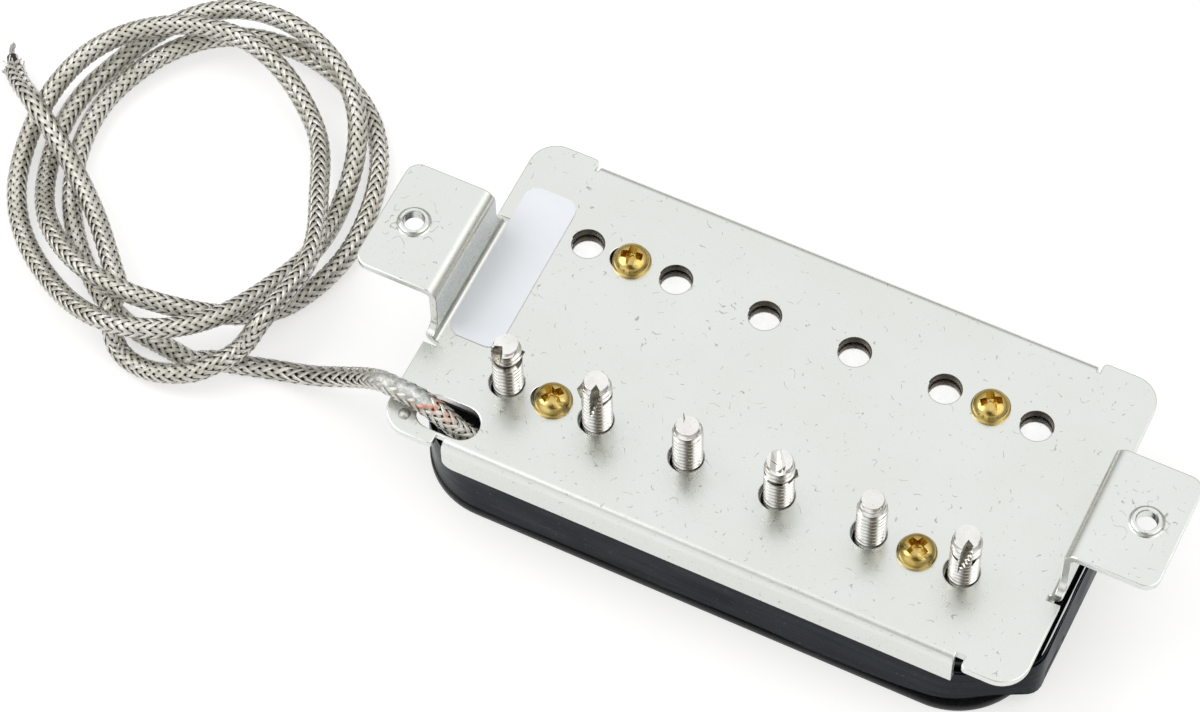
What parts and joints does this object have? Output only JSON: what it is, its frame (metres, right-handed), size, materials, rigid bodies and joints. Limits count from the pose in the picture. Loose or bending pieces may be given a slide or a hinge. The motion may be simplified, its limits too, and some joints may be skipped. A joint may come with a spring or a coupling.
{
  "type": "guitar pickup",
  "caption": "Two-coil electric guitar pickup with a bent metal baseplate, height-adjustable pole screws and a braided output cable.",
  "frame": {"origin": "centre of the body at the table, where the faces of both bobbins lie; the pickup lies face down", "axes": "+X along the pickup away from the cable, +Y from the screw row towards the slug row, +Z from the face up through the baseplate"},
  "size_m": [0.1381, 0.0447, 0.0208],
  "materials": {
    "satin_nickel": "satin nickel with fine scratches",
    "black_plastic": "moulded, slightly glossy",
    "copper_wire": "enamelled wire",
    "black_tape": "smooth tape with a blue-grey sheen",
    "magnet": "cast, rough",
    "plain_steel": "plain",
    "maple": "bare",
    "dull_steel": "turned, dull",
    "bright_steel": "bright plate",
    "brass": "bright",
    "white_paper": "matt, bare",
    "solder": "dull solder",
    "silver_braid": "tinned flat-strand braid",
    "black_insulation": "plastic insulation",
    "white_insulation": "plastic insulation",
    "tinned_wire": "tinned stranded wire"
  },
  "bodies": {
    "pickup": {"baseplate": "satin_nickel", "screw_bobbin": "black_plastic", "slug_bobbin": "black_plastic", "screw_coil": "copper_wire", "slug_coil": "copper_wire", "screw_coil_tape": "black_tape", "slug_coil_tape": "black_tape", "outer_tape": "black_tape", "bar_magnet": "magnet", "keeper_bar": "plain_steel", "spacer_bar": "maple", "slug_1": "dull_steel", "slug_2": "dull_steel", "slug_3": "dull_steel", "slug_4": "dull_steel", "slug_5": "dull_steel", "slug_6": "dull_steel", "bobbin_screw_1": "brass", "bobbin_screw_2": "brass", "bobbin_screw_3": "brass", "bobbin_screw_4": "brass", "paper_label": "white_paper", "solder_drop": "solder", "cable_inner_run": "silver_braid", "cable_inner_core": "black_insulation", "lead_splice": "black_insulation", "hot_lead": "black_insulation", "ground_lead": "white_insulation", "series_link": "black_insulation", "cable_tail": "silver_braid", "cable_coil": "silver_braid", "cable_end_run": "silver_braid", "cable_end_core": "black_insulation", "cable_end_conductor": "tinned_wire"},
    "screw_1": {"pole_screw_1": "bright_steel"},
    "screw_2": {"pole_screw_2": "bright_steel"},
    "screw_3": {"pole_screw_3": "bright_steel"},
    "screw_4": {"pole_screw_4": "bright_steel"},
    "screw_5": {"pole_screw_5": "bright_steel"},
    "screw_6": {"pole_screw_6": "bright_steel"}
  },
  "joints": [
    {"name": "screw_1_height", "type": "slide", "parent": "pickup", "child": "screw_1", "axis": [0, 0, -1], "range_m": [-0.0005, 0.004]},
    {"name": "screw_2_height", "type": "slide", "parent": "pickup", "child": "screw_2", "axis": [0, 0, -1], "range_m": [-0.0005, 0.004]},
    {"name": "screw_3_height", "type": "slide", "parent": "pickup", "child": "screw_3", "axis": [0, 0, -1], "range_m": [-0.0005, 0.004]},
    {"name": "screw_4_height", "type": "slide", "parent": "pickup", "child": "screw_4", "axis": [0, 0, -1], "range_m": [-0.0005, 0.004]},
    {"name": "screw_5_height", "type": "slide", "parent": "pickup", "child": "screw_5", "axis": [0, 0, -1], "range_m": [-0.0005, 0.004]},
    {"name": "screw_6_height", "type": "slide", "parent": "pickup", "child": "screw_6", "axis": [0, 0, -1], "range_m": [-0.0005, 0.004]}
  ]
}
